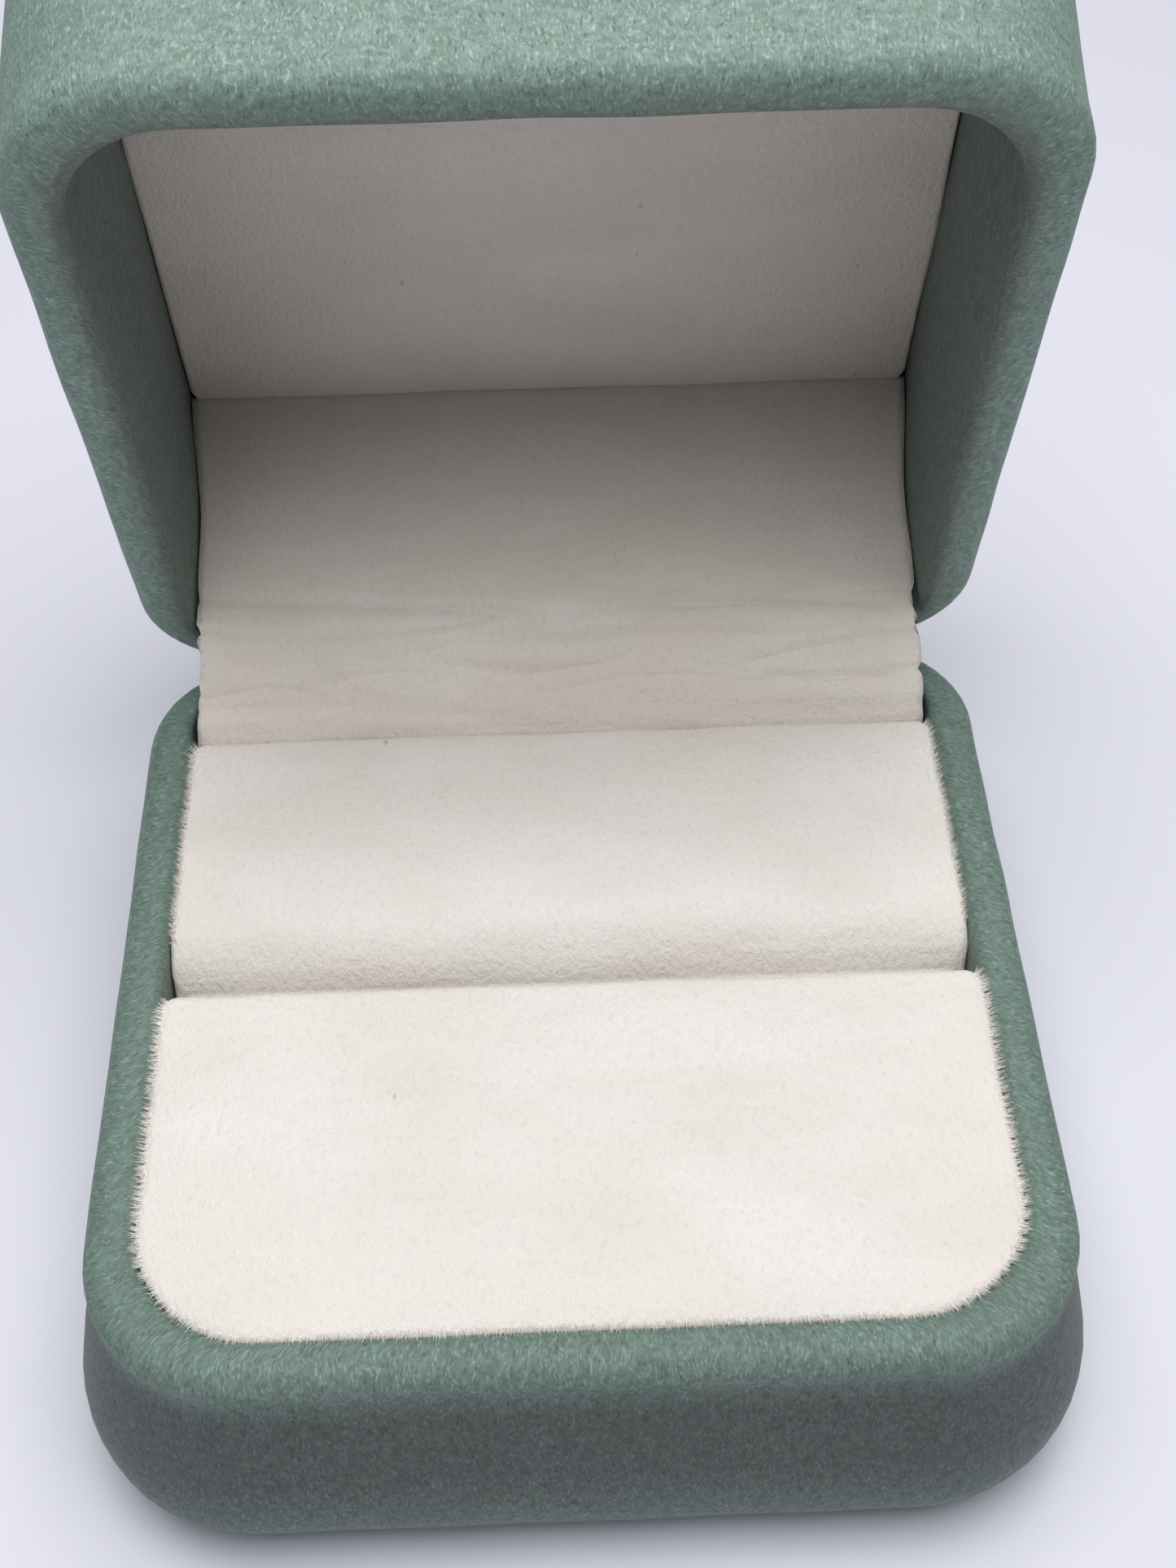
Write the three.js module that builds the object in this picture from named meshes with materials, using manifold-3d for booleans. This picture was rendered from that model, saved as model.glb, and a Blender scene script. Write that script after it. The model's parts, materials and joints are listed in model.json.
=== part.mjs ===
// A hinged ring box, standing open: two moulded shells wrapped in leatherette, a pair of velvet
// pads with a ring slot between them, a velvet-faced lid panel, and a sprung metal hinge under a
// velvet lining. Millimetres, +Z up, origin at the centre of the base's underside, front at -Y.
import * as THREE from 'three';
import { mergeVertices } from 'three/addons/utils/BufferGeometryUtils.js';
import Module from 'manifold-3d';

const manifold = await Module();
manifold.setup();

// ---- Driving dimensions ----
const RIM_WIDTH = 60;
const RIM_DEPTH = 58.8;
const FRONT_CORNER = 9.6;
const BACK_CORNER = 8.2;
const INNER_FRONT_SHIFT = 1.6; // the mouth's front corners are rounder than the wall alone gives
const INNER_BACK_SHIFT = -1.2; // and its back corners are tighter
const BASE_HEIGHT = 21;
const LID_HEIGHT = 26;
const LID_GAP = 0.3; // between the two rims when the box is shut
const OPEN_ANGLE = THREE.MathUtils.degToRad(75);

const BASE_FLARE = 2.1; // how far the base's belly stands out past the rim
const LID_FLARE = 0.5;
const EDGE_RADIUS = 6.5; // round edge at the foot of the base and at the top of the lid
const RIM_ROUND = 1.6;
const MOUTH_ROUND = 0.9;
const BASE_WALL = 3.1; // rim thickness, over both layers of wrap
const LID_WALL = 3.5;
const WRAP = 0.7;
const GAP = 0.3; // between neighbouring pieces
const SKIN = WRAP + GAP;
const SHELL_WALL = 1.2;
const SHELL_CHAMFER = 0.3;
const LID_EDGE_WALL = 0.8; // the lid shell's wall where it rounds over into the top
const HOLLOW_EDGE_START = 12; // degrees up the top edge at which the hollow starts to close in
const BASE_TURN_IN = 7; // how deep the wrap goes down inside the base's mouth
const FOOT_TURN_IN = 5.5; // how far the wrap goes under the foot
const FOOT_CORNER = 1; // of the bottom card and its cover

const CARD = 0.8;
const COVER = 0.5;
const VELVET = 0.9;
const PAD_CLEARANCE = 0.3;
const FRONT_PAD_TOP = BASE_HEIGHT + 0.3;
const REAR_PAD_TOP = BASE_HEIGHT - 0.3;
const PAD_ROUND = 1.6;
const PAD_CHAMFER = 0.8; // inside the velvet, and on the foam
const VELVET_LIFT = 1; // from the foam's underside to the velvet's lower edge
const SLOT_CORNER = 2.4;
const SLOT_FRONT = -2.6;
const SLOT_TOP_WIDTH = 5.6;
const SLOT_FOOT_WIDTH = 1.4;
const SLOT_FOOT_Z = 7;
const REAR_PAD_BACK = 21.2;

const PANEL_DEPTH = 20.8; // from the lid's rim to the panel's face
const PANEL_BACK = 23.6;
const PANEL_FRONT = -26.7;
const PANEL_HALF_WIDTH = 27.2;
const PANEL_FRONT_CORNER = 8.8;
const PANEL_BACK_CORNER = 3;
const PANEL_EDGE = 0.6;
const PANEL_VELVET = 0.6;
const WADDING = 0.6;
const PANEL_CARD = 0.6;
const PANEL_TAPER = 1.1; // how far the panel narrows behind its face, under the lid's round edge
const PANEL_SLANT = 1.2; // and the height over which it does
const PANEL_ROOM = 0.45; // inside the velvet's slanted edge

const LINING = 0.5;
const LINING_HALF_WIDTH = 25.4;
const LINING_FACE = 23.9; // the lining's face behind the lid's cavity, with the box shut
const BACK_CARD_HALF_WIDTH = 23.7;

const AXIS_Y = 28.45;
const AXIS_Z = BASE_HEIGHT + LID_GAP / 2;
const KNUCKLE_RADIUS = 1;
const PIN_RADIUS = 0.45;
const BORE_RADIUS = 0.55;
const KNUCKLE_CLEARANCE = 0.35;
const LEAF = 0.4;
const LEAF_SEAT = 0.15; // between a leaf and the shell behind it
const LEAF_HALF_LENGTH = 18;
const LEAF_HEIGHT = 12;
const KNUCKLE_GAP = 0.3;
const BASE_KNUCKLES = [[-18, -11], [-3, 3], [11, 18]];
const LID_KNUCKLES = [[-11 + KNUCKLE_GAP, -3 - KNUCKLE_GAP], [3 + KNUCKLE_GAP, 11 - KNUCKLE_GAP]];
const RIVET_X = 14.5;
const RIVET_DROP = 9.2; // from the axis to a rivet's centre
const SHANK_RADIUS = 0.6;
const RIVET_HEAD_RADIUS = 1.3;
const RIVET_HEAD = 0.3;
const BASE_RIM_CUT = 5.6; // how far from the axis the shells' rims are cut away
const LID_RIM_CUT = 7.5;
const SPRING_X = 7;
const SPRING_WIDTH = 5;
const SPRING = 0.35;

const CORNER_STEPS = 6;
const ARC_STEPS = 6;
const ROUND_SIDES = 20;
const SMALLEST_RADIUS = 0.3;
const LIP_BLEND = 0.25; // how much of the mouth's own corner shape the top of the lip has

// ---- Materials ----
const finish = (color, roughness, metalness = 0) => () =>
  new THREE.MeshStandardMaterial({ color, roughness, metalness });
const LEATHERETTE = finish(0x86a895, 0.8);
const IVORY_VELVET = finish(0xeee7dd, 0.95);
const MOULDING = finish(0x3a3d3b, 0.5);
const GREY_BOARD = finish(0x8d867a, 0.9);
const SPONGE = finish(0xf2efe6, 0.95);
const STEEL = finish(0xb9b4a4, 0.35, 1);
const FELT_PAPER = finish(0x5d6b63, 0.95);

// ---- Closed surfaces from rings of points ----

// A quarter turn of a profile, from angle start to angle end in degrees, as [x, z] pairs.
function arc(centreX, centreZ, radius, start, end, steps = ARC_STEPS) {
  const points = [];
  for (let i = 0; i <= steps; i += 1) {
    const angle = THREE.MathUtils.degToRad(start + ((end - start) * i) / steps);
    points.push([centreX + radius * Math.cos(angle), centreZ + radius * Math.sin(angle)]);
  }
  return points;
}

// A rounded rectangle at height z, anticlockwise from above.
function roundedRing({ halfWidth, front, back, frontRadius, backRadius }, z) {
  const corners = [
    { side: 1, y: back, inward: -1, radius: backRadius, start: 0 },
    { side: -1, y: back, inward: -1, radius: backRadius, start: 90 },
    { side: -1, y: front, inward: 1, radius: frontRadius, start: 180 },
    { side: 1, y: front, inward: 1, radius: frontRadius, start: 270 },
  ];
  return corners.flatMap(({ side, y, inward, radius, start }) => {
    const r = Math.max(radius, SMALLEST_RADIUS);
    const centreX = side * (halfWidth - r);
    const centreY = y + inward * r;
    return arc(centreX, centreY, r, start, start + 90, CORNER_STEPS).map(([px, py]) => [px, py, z]);
  });
}

// The box's own outline, grown by grow; inside is 1 in the mouth and 0 on the outer wall.
function boxOutline(grow, inside = 0) {
  return {
    halfWidth: RIM_WIDTH / 2 + grow,
    front: -RIM_DEPTH / 2 - grow,
    back: RIM_DEPTH / 2 + grow,
    frontRadius: FRONT_CORNER + grow + INNER_FRONT_SHIFT * inside,
    backRadius: BACK_CORNER + grow + INNER_BACK_SHIFT * inside,
  };
}

function boxRing([grow, z, inside]) {
  return roundedRing(boxOutline(grow, inside), z);
}

function signedVolume(positions, triangles) {
  const a = new THREE.Vector3();
  const b = new THREE.Vector3();
  const c = new THREE.Vector3();
  let sum = 0;
  for (let i = 0; i < triangles.length; i += 3) {
    a.fromArray(positions, triangles[i] * 3);
    b.fromArray(positions, triangles[i + 1] * 3);
    c.fromArray(positions, triangles[i + 2] * 3);
    sum += a.dot(b.cross(c));
  }
  return sum / 6;
}

// Joins rings of equal length into one closed surface. The first and last rings are filled in,
// or, if looped, joined to each other.
function skin(rings, { looped = false } = {}) {
  const count = rings[0].length;
  const positions = rings.flat(2);
  const triangles = [];
  const strips = looped ? rings.length : rings.length - 1;
  for (let i = 0; i < strips; i += 1) {
    const near = i * count;
    const far = ((i + 1) % rings.length) * count;
    for (let j = 0; j < count; j += 1) {
      const k = (j + 1) % count;
      triangles.push(near + j, near + k, far + k, near + j, far + k, far + j);
    }
  }
  if (!looped) {
    const last = rings.length - 1;
    for (const [index, flip] of [[0, true], [last, false]]) {
      const base = index * count;
      const middle = positions.length / 3;
      for (let axis = 0; axis < 3; axis += 1) {
        positions.push(rings[index].reduce((sum, point) => sum + point[axis], 0) / count);
      }
      for (let j = 0; j < count; j += 1) {
        const k = (j + 1) % count;
        triangles.push(middle, base + (flip ? k : j), base + (flip ? j : k));
      }
    }
  }
  if (signedVolume(positions, triangles) < 0) {
    for (let i = 0; i < triangles.length; i += 3) {
      [triangles[i + 1], triangles[i + 2]] = [triangles[i + 2], triangles[i + 1]];
    }
  }
  const geometry = new THREE.BufferGeometry();
  geometry.setAttribute('position', new THREE.Float32BufferAttribute(positions, 3));
  geometry.setIndex(triangles);
  return geometry;
}

// The profile moved inward by distance, along the normals of its two neighbouring edges.
function insetProfile(profile, distance) {
  return profile.map(([x, z, inside], i) => {
    const before = profile[Math.max(i - 1, 0)];
    const after = profile[Math.min(i + 1, profile.length - 1)];
    const along = new THREE.Vector2(after[0] - before[0], after[1] - before[1]).normalize();
    return [x - along.y * distance, z + along.x * distance, inside];
  });
}

// A skin of even thickness that follows an open profile round the box.
function wrapped(profile, thickness) {
  const back = insetProfile(profile, thickness).reverse();
  return skin([...profile, ...back].map(boxRing), { looped: true });
}

// ---- Booleans and placing ----
function toSolid(geometry) {
  const bare = geometry.clone();
  bare.deleteAttribute('normal');
  bare.deleteAttribute('uv');
  const merged = mergeVertices(bare, 1e-4);
  return new manifold.Manifold(new manifold.Mesh({
    numProp: 3,
    vertProperties: new Float32Array(merged.attributes.position.array),
    triVerts: new Uint32Array(merged.index.array),
  }));
}

function toGeometry(solid) {
  const { vertProperties, triVerts, numProp } = solid.getMesh();
  const positions = new Float32Array((vertProperties.length / numProp) * 3);
  for (let i = 0; i < positions.length / 3; i += 1) {
    positions.set(vertProperties.slice(i * numProp, i * numProp + 3), i * 3);
  }
  const geometry = new THREE.BufferGeometry();
  geometry.setAttribute('position', new THREE.BufferAttribute(positions, 3));
  geometry.setIndex(new THREE.BufferAttribute(new Uint32Array(triVerts), 1));
  return geometry;
}

function cut(geometry, ...tools) {
  return toGeometry(tools.reduce((solid, tool) => solid.subtract(toSolid(tool)), toSolid(geometry)));
}

function join(first, ...others) {
  return toGeometry(others.reduce((solid, other) => solid.add(toSolid(other)), toSolid(first)));
}

// A box from its lowest to its highest corner.
function block([x0, y0, z0], [x1, y1, z1]) {
  const geometry = new THREE.BoxGeometry(x1 - x0, y1 - y0, z1 - z0);
  return geometry.translate((x0 + x1) / 2, (y0 + y1) / 2, (z0 + z1) / 2);
}

// A cylinder along X on the hinge axis.
function barrel(radius, x0, x1) {
  const geometry = new THREE.CylinderGeometry(radius, radius, x1 - x0, ROUND_SIDES);
  return geometry.rotateZ(Math.PI / 2).translate((x0 + x1) / 2, AXIS_Y, AXIS_Z);
}

// A cylinder along Y.
function shank(radius, x, y0, y1, z) {
  return new THREE.CylinderGeometry(radius, radius, y1 - y0, ROUND_SIDES).translate(x, (y0 + y1) / 2, z);
}

const box = new THREE.Group();
const lid = new THREE.Group();
lid.position.set(0, AXIS_Y, AXIS_Z);
lid.rotation.x = -OPEN_ANGLE;
box.add(lid);

// Lid pieces are drawn with the box shut, and swing open with the lid group.
function addPiece(name, geometry, material, group = box) {
  const placed = group === lid ? geometry.translate(0, -AXIS_Y, -AXIS_Z) : geometry;
  const mesh = new THREE.Mesh(placed, material());
  mesh.name = name;
  group.add(mesh);
}

// ---- Outer profiles, from the foot or the top edge round to the rim ----
// Each point is [growth past the rim outline, height, 1 inside the mouth or 0 outside].

// depth is measured from the rim plane; toZ turns it into a height.
function sideProfile(bellyPoints, flare, height, toZ) {
  const edge = arc(flare - EDGE_RADIUS, -(height - EDGE_RADIUS), EDGE_RADIUS, -90, 0);
  const rim = arc(-RIM_ROUND, -RIM_ROUND, RIM_ROUND, 0, 90);
  return [...edge, ...bellyPoints.map(([grow, depth]) => [grow, -depth]), ...rim]
    .map(([grow, z]) => [grow, toZ(z), 0]);
}

function mouthProfile(wall, depth, widening, toZ) {
  const lip = arc(-wall + MOUTH_ROUND, -MOUTH_ROUND, MOUTH_ROUND, 90, 180);
  const points = lip.map(([grow, z], i) =>
    [grow, toZ(z), THREE.MathUtils.lerp(LIP_BLEND, 1, i / ARC_STEPS)]);
  for (const [grow, at] of widening.filter(([, at]) => at < depth)) {
    points.push([grow - wall, toZ(-at), 1]);
  }
  const last = widening.at(-1);
  points.push([last[0] - wall, toZ(-depth), 1]);
  return points;
}

const BASE_BELLY = [[2, 12.6], [1.65, 10.8], [1.05, 8], [0.4, 5.2], [-0.15, 2.8]];
const LID_BELLY = [[0.4, 16], [0.2, 9], [0, 4]];
const LID_WIDENING = [[0.05, 10], [0.4, 14], [0.8, 17.5], [1.1, 20]];
const baseZ = (z) => BASE_HEIGHT + z;
const LID_RIM_Z = BASE_HEIGHT + LID_GAP;
const lidZ = (z) => LID_RIM_Z - z;
const FOOT_Z = GAP; // the wrap's underside, a little above the cover that the box stands on
const LID_TOP_Z = LID_RIM_Z + LID_HEIGHT;

const baseSide = sideProfile(BASE_BELLY, BASE_FLARE, BASE_HEIGHT - FOOT_Z, baseZ);
const lidSide = sideProfile(LID_BELLY, LID_FLARE, LID_HEIGHT, lidZ);
const footEdge = baseSide[0][0];

// ---- Wraps ----
const hingeRelief = block(
  [-LEAF_HALF_LENGTH - 1, AXIS_Y - 1.4, AXIS_Z - 1.8],
  [LEAF_HALF_LENGTH + 1, AXIS_Y + 2, AXIS_Z + 1.8],
);
const springReliefs = [-SPRING_X, SPRING_X].map((x) => block(
  [x - SPRING_WIDTH / 2 - 0.5, AXIS_Y - 3.5, AXIS_Z - 2.15],
  [x + SPRING_WIDTH / 2 + 0.5, AXIS_Y - 1, AXIS_Z],
));

const baseWrapProfile = [
  [footEdge - FOOT_TURN_IN, FOOT_Z, 0],
  ...baseSide,
  ...mouthProfile(BASE_WALL, BASE_TURN_IN, [[0, BASE_TURN_IN]], baseZ),
];
addPiece('base_wrap', cut(wrapped(baseWrapProfile, WRAP), hingeRelief, ...springReliefs), LEATHERETTE);

// The lid's wrap is one piece over the top, and its turned-in edge lines the lid's side walls.
function lidWrap() {
  const outer = [...lidSide, ...mouthProfile(LID_WALL, PANEL_DEPTH - GAP, LID_WIDENING, lidZ)];
  const inner = insetProfile(outer, -WRAP).reverse();
  return skin([...outer, ...inner].map(boxRing));
}
addPiece('lid_wrap', cut(lidWrap(), hingeRelief), LEATHERETTE, lid);

// ---- Moulded shells ----
const shellRim = (inner, rimZ, down) => [
  [-SKIN - SHELL_CHAMFER, rimZ, LIP_BLEND],
  [inner + SHELL_CHAMFER, rimZ, 1],
  [inner, rimZ - down * SHELL_CHAMFER, 1],
];

// Cut from a shell's back wall: a seat for the leaf, the rim over the knuckles, and rivet holes.
// up is 1 for the lid's shell and -1 for the base's.
function hingeRoom(up, rimCut) {
  const halfSeat = LEAF_HALF_LENGTH + GAP;
  const halfRimCut = LEAF_HALF_LENGTH + 1;
  const leafBack = AXIS_Y - KNUCKLE_RADIUS + LEAF + LEAF_SEAT;
  const inMouth = AXIS_Y - 4.5;
  const outside = AXIS_Y + 3.5;
  const spanTo = (reach) => [AXIS_Z - up * 2, AXIS_Z + up * reach].sort((a, b) => a - b);
  const [rimLow, rimHigh] = spanTo(rimCut);
  const [seatLow, seatHigh] = spanTo(LEAF_HEIGHT + GAP);
  return [
    block([-halfRimCut, inMouth, rimLow], [halfRimCut, outside, rimHigh]),
    block([-halfSeat, inMouth, seatLow], [halfSeat, leafBack, seatHigh]),
    ...[-RIVET_X, RIVET_X].map((x) =>
      shank(SHANK_RADIUS + GAP, x, AXIS_Y - 2, AXIS_Y + 0.9, AXIS_Z + up * RIVET_DROP)),
  ];
}

function baseShell() {
  const inner = -BASE_WALL + SKIN;
  const rimZ = BASE_HEIGHT - SKIN;
  const side = insetProfile(baseSide, SKIN).filter(([, z]) => z < rimZ - SHELL_CHAMFER);
  const floorZ = FOOT_Z + SKIN;
  const recess = footEdge - FOOT_TURN_IN + GAP;
  const profile = [
    [recess - 0.1, floorZ + CARD, 0],
    [recess, floorZ, 0],
    ...side,
    ...shellRim(inner, rimZ, 1),
    [inner, floorZ + CARD + SHELL_WALL, 1],
  ];
  return cut(skin(profile.map(boxRing)), ...hingeRoom(-1, BASE_RIM_CUT));
}
addPiece('base_shell', baseShell(), MOULDING);

// The hollow rounds in under the lid's top edge, so that the wall keeps its thickness there.
function hollowEdge(ceilingZ) {
  const radius = EDGE_RADIUS - SKIN - LID_EDGE_WALL;
  const centreZ = LID_TOP_Z - EDGE_RADIUS;
  const end = THREE.MathUtils.radToDeg(Math.asin((ceilingZ - centreZ) / radius));
  return arc(LID_FLARE - EDGE_RADIUS, centreZ, radius, HOLLOW_EDGE_START, end)
    .map(([grow, z], i) => [grow, z, 1 - i / ARC_STEPS]);
}

function lidShell() {
  const inner = -LID_WALL + SKIN;
  const rimZ = LID_RIM_Z + SKIN;
  const side = insetProfile(lidSide, -SKIN).filter(([, z]) => z > rimZ + SHELL_CHAMFER);
  const widening = LID_WIDENING.map(([grow, at]) => [inner + grow, LID_RIM_Z + at, 1]);
  const profile = [
    ...side,
    ...shellRim(inner, rimZ, -1),
    ...widening,
    ...hollowEdge(LID_TOP_Z - SKIN - SHELL_WALL),
  ];
  return cut(skin(profile.map(boxRing)), ...hingeRoom(1, LID_RIM_CUT));
}
addPiece('lid_shell', lidShell(), MOULDING, lid);

// ---- Bottom board and its cover ----
function flatSheet(outline, z0, z1) {
  return skin([roundedRing(outline, z0), roundedRing(outline, z1)]);
}
const footOutline = {
  ...boxOutline(footEdge - FOOT_TURN_IN - GAP),
  frontRadius: FOOT_CORNER,
  backRadius: FOOT_CORNER,
};
addPiece('bottom_cover', flatSheet(footOutline, 0, COVER), FELT_PAPER);
addPiece('bottom_card', flatSheet(footOutline, COVER + GAP, COVER + GAP + CARD - 0.1), GREY_BOARD);

// ---- Ring pads ----
const insertOutline = boxOutline(-BASE_WALL + SKIN - 0.4, 1);
const shellFloor = FOOT_Z + SKIN + CARD + SHELL_WALL;
const insertZ = shellFloor + GAP;
const foamZ = insertZ + CARD + GAP;
addPiece('insert_card', flatSheet(insertOutline, insertZ, insertZ + CARD), GREY_BOARD);

const padOutline = boxOutline(-BASE_WALL - PAD_CLEARANCE, 1);

// The pad's outline at one height, drawn in by inset. The rear pad leans back from the slot.
function padRing(pad, inset, z) {
  return roundedRing({
    halfWidth: padOutline.halfWidth - inset,
    front: pad.front(z) + inset,
    back: pad.back(z) - inset,
    frontRadius: pad.frontRadius - inset,
    backRadius: pad.backRadius - inset,
  }, z);
}
const slotBack = (z) => THREE.MathUtils.mapLinear(
  z, SLOT_FOOT_Z, REAR_PAD_TOP, SLOT_FRONT + SLOT_FOOT_WIDTH, SLOT_FRONT + SLOT_TOP_WIDTH,
);
const frontPad = {
  name: 'front',
  top: FRONT_PAD_TOP,
  front: () => padOutline.front,
  back: () => SLOT_FRONT,
  frontRadius: padOutline.frontRadius,
  backRadius: SLOT_CORNER,
};
const rearPad = {
  name: 'rear',
  top: REAR_PAD_TOP,
  front: slotBack,
  back: () => REAR_PAD_BACK,
  frontRadius: SLOT_CORNER,
  backRadius: PAD_ROUND + SMALLEST_RADIUS,
};
for (const pad of [frontPad, rearPad]) {
  const shoulder = arc(-PAD_ROUND, pad.top - PAD_ROUND, PAD_ROUND, 90, 0);
  const innerTop = pad.top - VELVET;
  const skirtZ = foamZ + VELVET_LIFT;
  const cover = skin([
    ...shoulder.map(([x, z]) => padRing(pad, -x, z)),
    padRing(pad, 0, skirtZ),
    padRing(pad, VELVET, skirtZ),
    padRing(pad, VELVET, innerTop - PAD_CHAMFER),
    padRing(pad, VELVET + PAD_CHAMFER, innerTop),
  ]);
  addPiece(`${pad.name}_velvet`, cover, IVORY_VELVET);
  const foamInset = VELVET + GAP;
  const foam = skin([
    padRing(pad, foamInset, foamZ),
    padRing(pad, foamInset, innerTop - GAP - PAD_CHAMFER),
    padRing(pad, foamInset + PAD_CHAMFER, innerTop - GAP),
  ]);
  addPiece(`${pad.name}_foam`, foam, SPONGE);
}

// ---- Lid panel: velvet over wadding on card ----
const panelOutline = (inset) => ({
  halfWidth: PANEL_HALF_WIDTH - inset,
  front: PANEL_FRONT + inset,
  back: PANEL_BACK - inset,
  frontRadius: PANEL_FRONT_CORNER - inset,
  backRadius: PANEL_BACK_CORNER - inset,
});
const panelZ = LID_RIM_Z + PANEL_DEPTH;
const waddingZ = panelZ + PANEL_VELVET + GAP;
const lidCardZ = waddingZ + WADDING + GAP;
const panelBackZ = lidCardZ + PANEL_CARD;
const slantZ = panelBackZ - PANEL_SLANT;

// How far the panel's cover has narrowed at height z.
const taperAt = (z) => THREE.MathUtils.mapLinear(Math.max(z, slantZ), slantZ, panelBackZ, 0, PANEL_TAPER);
const panelCover = skin([
  roundedRing(panelOutline(PANEL_EDGE), panelZ),
  roundedRing(panelOutline(PANEL_EDGE * 0.3), panelZ + PANEL_EDGE * 0.3),
  roundedRing(panelOutline(0), panelZ + PANEL_EDGE),
  roundedRing(panelOutline(0), slantZ),
  roundedRing(panelOutline(PANEL_TAPER), panelBackZ),
  roundedRing(panelOutline(PANEL_TAPER + PANEL_VELVET), panelBackZ),
  roundedRing(panelOutline(PANEL_VELVET), slantZ),
  roundedRing(panelOutline(PANEL_VELVET), panelZ + PANEL_VELVET),
]);
addPiece('lid_panel_velvet', panelCover, IVORY_VELVET, lid);

// A flat layer inside the panel's cover, clear of its slanted edge.
function panelLayer(z0, z1) {
  return flatSheet(panelOutline(taperAt(z1) + PANEL_VELVET + PANEL_ROOM), z0, z1);
}
addPiece('lid_panel_wadding', panelLayer(waddingZ, waddingZ + WADDING), SPONGE, lid);
addPiece('lid_panel_card', panelLayer(lidCardZ, panelBackZ), GREY_BOARD, lid);

// ---- Hinge ----
const leafFront = AXIS_Y - KNUCKLE_RADIUS;

// A leaf hangs from its knuckles; down is -1 for the base's leaf and 1 for the lid's.
function hingeLeaf(direction, own, others) {
  const far = AXIS_Z + direction * LEAF_HEIGHT;
  const plate = block(
    [-LEAF_HALF_LENGTH, leafFront, Math.min(AXIS_Z, far)],
    [LEAF_HALF_LENGTH, leafFront + LEAF, Math.max(AXIS_Z, far)],
  );
  const knuckles = own.map(([x0, x1]) => barrel(KNUCKLE_RADIUS, x0, x1));
  const bore = barrel(BORE_RADIUS, -LEAF_HALF_LENGTH - 1, LEAF_HALF_LENGTH + 1);
  const clearances = others.map(([x0, x1]) =>
    barrel(KNUCKLE_RADIUS + KNUCKLE_CLEARANCE, x0 - KNUCKLE_GAP, x1 + KNUCKLE_GAP));
  const holes = [-RIVET_X, RIVET_X].map((x) => shank(
    SHANK_RADIUS + GAP, x, AXIS_Y - 2, AXIS_Y + 2, AXIS_Z + direction * RIVET_DROP,
  ));
  const plateCut = cut(plate, ...clearances, ...holes);
  return cut(join(plateCut, ...knuckles), bore);
}
addPiece('hinge_leaf_base', hingeLeaf(-1, BASE_KNUCKLES, LID_KNUCKLES), STEEL);
addPiece('hinge_leaf_lid', hingeLeaf(1, LID_KNUCKLES, BASE_KNUCKLES), STEEL, lid);
addPiece('hinge_pin', barrel(PIN_RADIUS, -LEAF_HALF_LENGTH - 0.3, LEAF_HALF_LENGTH + 0.3), STEEL);

for (const [part, direction, group] of [['base', -1, box], ['lid', 1, lid]]) {
  for (const [side, x] of [['left', -RIVET_X], ['right', RIVET_X]]) {
    const z = AXIS_Z + direction * RIVET_DROP;
    const headBack = leafFront - GAP;
    const head = shank(RIVET_HEAD_RADIUS, x, headBack - RIVET_HEAD, headBack, z);
    const rivet = join(head, shank(SHANK_RADIUS, x, headBack - RIVET_HEAD / 2, AXIS_Y, z));
    addPiece(`${part}_rivet_${side}`, rivet, STEEL, group);
  }
}

// A strip of even thickness across X, from points [y, z] along its middle.
function strip(line, thickness, x0, x1) {
  const points = line.map(([y, z]) => new THREE.Vector2(y, z));
  const normalAt = (i) => {
    const before = points[Math.max(i - 1, 0)];
    const after = points[Math.min(i + 1, points.length - 1)];
    const along = after.clone().sub(before).normalize();
    return new THREE.Vector2(-along.y, along.x);
  };
  const rings = points.map((point, i) => {
    const a = point.clone().addScaledVector(normalAt(i), thickness / 2);
    const b = point.clone().addScaledVector(normalAt(i), -thickness / 2);
    return [[x0, a.x, a.y], [x1, a.x, a.y], [x1, b.x, b.y], [x0, b.x, b.y]];
  });
  return skin(rings);
}

function smooth(points, steps) {
  const curve = new THREE.CatmullRomCurve3(points.map(([y, z]) => new THREE.Vector3(0, y, z)));
  return curve.getPoints(steps).map(({ y, z }) => [y, z]);
}

// Bowed snap springs: each foot lies on the base leaf, and each tip bears on a lid knuckle.
const springFoot = leafFront - GAP - SPRING / 2;
const springLine = smooth([
  [springFoot, AXIS_Z - 11.5],
  [springFoot, AXIS_Z - 8.5],
  [25.2, AXIS_Z - 7.4],
  [24.1, AXIS_Z - 5.2],
  [24.4, AXIS_Z - 2.9],
  [25.6, AXIS_Z - 1.65],
  [27.1, AXIS_Z - 1.35],
], 20);
for (const [side, x] of [['left', -SPRING_X], ['right', SPRING_X]]) {
  const spring = strip(springLine, SPRING, x - SPRING_WIDTH / 2, x + SPRING_WIDTH / 2);
  addPiece(`snap_spring_${side}`, spring, STEEL);
}

// ---- Lining over the hinge ----
// Where a point of the shut lid lies once the lid is open, as [y, z].
function opened(y, z) {
  const cos = Math.cos(OPEN_ANGLE);
  const sin = Math.sin(OPEN_ANGLE);
  const dy = y - AXIS_Y;
  const dz = z - AXIS_Z;
  return [AXIS_Y + dy * cos + dz * sin, AXIS_Z - dy * sin + dz * cos];
}
const liningY = LINING_FACE + LINING / 2;
const backCardY = LINING_FACE + LINING + GAP;
const backCard = block(
  [-BACK_CARD_HALF_WIDTH, backCardY, LID_RIM_Z + 2],
  [BACK_CARD_HALF_WIDTH, backCardY + CARD, LID_RIM_Z + PANEL_DEPTH + 2],
);
addPiece('lid_back_card', backCard, GREY_BOARD, lid);

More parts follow.
